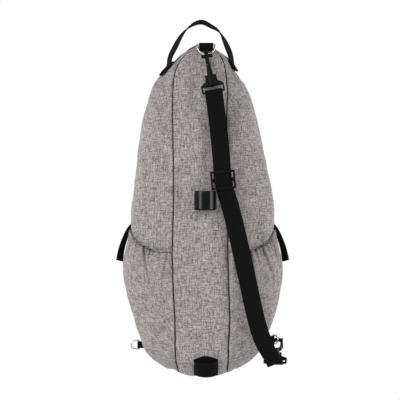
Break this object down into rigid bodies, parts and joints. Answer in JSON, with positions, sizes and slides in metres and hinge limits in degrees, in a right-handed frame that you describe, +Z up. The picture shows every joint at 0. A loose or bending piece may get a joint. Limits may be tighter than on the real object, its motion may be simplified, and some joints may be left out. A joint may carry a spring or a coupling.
{
  "type": "sling bag",
  "caption": "Tall teardrop sling bag in heather fabric with a zipped front flap, side pockets, a top handle, rod loops and an adjustable shoulder strap on swivel hooks.",
  "frame": {"origin": "underside of the carrying handle at its highest point, where a hook takes it", "axes": "+Z up, +X to the right as the strap side is faced, +Y out of the zipped front, away from the strap side"},
  "size_m": [0.3666, 0.18, 0.78],
  "materials": {
    "heather_fabric": "heather grey plain-weave polyester with light and dark slubs",
    "lining_fabric": "smooth black nylon",
    "foam_padding": "closed-cell foam with a knit face",
    "black_webbing": "ribbed woven webbing",
    "black_plastic": "satin moulded",
    "gloss_loop": "glossy coated band",
    "ring_metal": "polished nickel plate",
    "pin_steel": "plain steel"
  },
  "bodies": {
    "bag": {"back_panel": "heather_fabric", "left_side_panel": "heather_fabric", "right_side_panel": "heather_fabric", "front_lower_panel": "heather_fabric", "back_foam": "foam_padding", "main_lining": "lining_fabric", "base_board": "black_plastic", "left_pocket": "heather_fabric", "right_pocket": "heather_fabric", "left_pocket_elastic": "heather_fabric", "right_pocket_elastic": "heather_fabric", "zip_tape_back": "black_webbing", "zip_teeth_back": "black_plastic", "left_zip_tab": "black_webbing", "right_zip_tab": "black_webbing", "handle_patch_left": "black_webbing", "handle_patch_right": "black_webbing", "top_webbing_loop": "black_webbing", "lower_left_tab": "black_webbing", "lower_right_tab": "black_webbing", "middle_loop": "gloss_loop", "bottom_loop": "black_webbing"},
    "front_flap": {"front_flap": "heather_fabric", "flap_foam": "foam_padding", "flap_lining": "lining_fabric", "zip_tape_flap": "black_webbing", "zip_teeth_flap": "black_plastic"},
    "handle": {"handle_webbing": "black_webbing"},
    "top_ring": {"top_ring": "ring_metal"},
    "lower_left_ring": {"lower_left_ring": "ring_metal"},
    "lower_right_ring": {"lower_right_ring": "ring_metal"},
    "strap": {"strap_webbing": "black_webbing", "strap_return": "black_webbing", "strap_top_fold": "black_webbing", "strap_lower_fold": "black_webbing", "top_swivel_frame": "black_plastic", "lower_swivel_frame": "black_plastic"},
    "adjuster": {"strap_adjuster": "black_plastic"},
    "top_hook": {"top_hook": "black_plastic", "top_gate_pin": "pin_steel"},
    "top_gate": {"top_gate": "black_plastic"},
    "lower_hook": {"lower_hook": "black_plastic", "lower_gate_pin": "pin_steel"},
    "lower_gate": {"lower_gate": "black_plastic"},
    "left_slider": {"zip_slider_left": "black_plastic"},
    "left_pull": {"zip_pull_left": "black_webbing"},
    "right_slider": {"zip_slider_right": "black_plastic"},
    "right_pull": {"zip_pull_right": "black_webbing"}
  },
  "joints": [
    {"name": "front_flap_hinge", "type": "hinge", "parent": "bag", "child": "front_flap", "pos_m": [0, 0.077, -0.453], "axis": [-1, 0, 0], "range_deg": [0, 105]},
    {"name": "handle_hinge", "type": "hinge", "parent": "bag", "child": "handle", "pos_m": [-0.003, 0, -0.0915], "axis": [1, 0, 0], "range_deg": [-45, 45]},
    {"name": "top_ring_hinge", "type": "hinge", "parent": "bag", "child": "top_ring", "pos_m": [0.008, -0.046, -0.052], "axis": [1, 0, 0], "range_deg": [-5, 5]},
    {"name": "lower_left_ring_hinge", "type": "hinge", "parent": "bag", "child": "lower_left_ring", "pos_m": [-0.141, 0.028, -0.71], "axis": [0, 0, 1], "range_deg": [-75, 75]},
    {"name": "lower_right_ring_hinge", "type": "hinge", "parent": "bag", "child": "lower_right_ring", "pos_m": [0.156, 0.028, -0.698], "axis": [0, 0, 1], "range_deg": [-5, 5]},
    {"name": "strap_swing", "type": "hinge", "parent": "bag", "child": "strap", "pos_m": [0.008, -0.054, -0.074], "axis": [-0.2428, -0.105, 0.9644], "range_deg": [0, 40]},
    {"name": "top_hook_swivel", "type": "hinge", "parent": "strap", "child": "top_hook", "pos_m": [0.008, -0.054, -0.074], "axis": [0.1812, -0.2745, -0.9444], "range_deg": [0, 40]},
    {"name": "lower_hook_swivel", "type": "hinge", "parent": "strap", "child": "lower_hook", "pos_m": [0.16623, 0.01653, -0.70015], "axis": [-0.1131, -0.8905, -0.4407], "range_deg": [-15, 15]},
    {"name": "top_gate_hinge", "type": "hinge", "parent": "top_hook", "child": "top_gate", "pos_m": [0.01296, -0.06978, -0.09748], "axis": [-0.9834, -0.0506, -0.174], "range_deg": [0, 22], "stiffness_Nm_per_rad": 0.05},
    {"name": "lower_gate_hinge", "type": "hinge", "parent": "lower_hook", "child": "lower_gate", "pos_m": [0.17137, -0.01127, -0.71337], "axis": [-0.0555, -0.4372, 0.8977], "range_deg": [0, 22], "stiffness_Nm_per_rad": 0.05},
    {"name": "adjuster_slide", "type": "slide", "parent": "strap", "child": "adjuster", "axis": [-0.0844, 0, 0.9964], "range_m": [0, 0.06]},
    {"name": "left_slider_run", "type": "hinge", "parent": "bag", "child": "left_slider", "pos_m": [0, 0.022, -0.113], "axis": [0, -1, 0], "range_deg": [0, 6]},
    {"name": "right_slider_run", "type": "hinge", "parent": "bag", "child": "right_slider", "pos_m": [0, 0.022, -0.113], "axis": [0, 1, 0], "range_deg": [0, 72]},
    {"name": "left_pull_hinge", "type": "hinge", "parent": "left_slider", "child": "left_pull", "pos_m": [-0.04418, 0.022, -0.06725], "axis": [0, 1, 0], "range_deg": [0, 110]},
    {"name": "right_pull_hinge", "type": "hinge", "parent": "right_slider", "child": "right_pull", "pos_m": [-0.02986, 0.022, -0.05684], "axis": [0, -1, 0], "range_deg": [0, 110]}
  ],
  "couplings": [
    {"joint": "top_hook_swivel", "follows": "strap_swing", "ratio": 1}
  ]
}
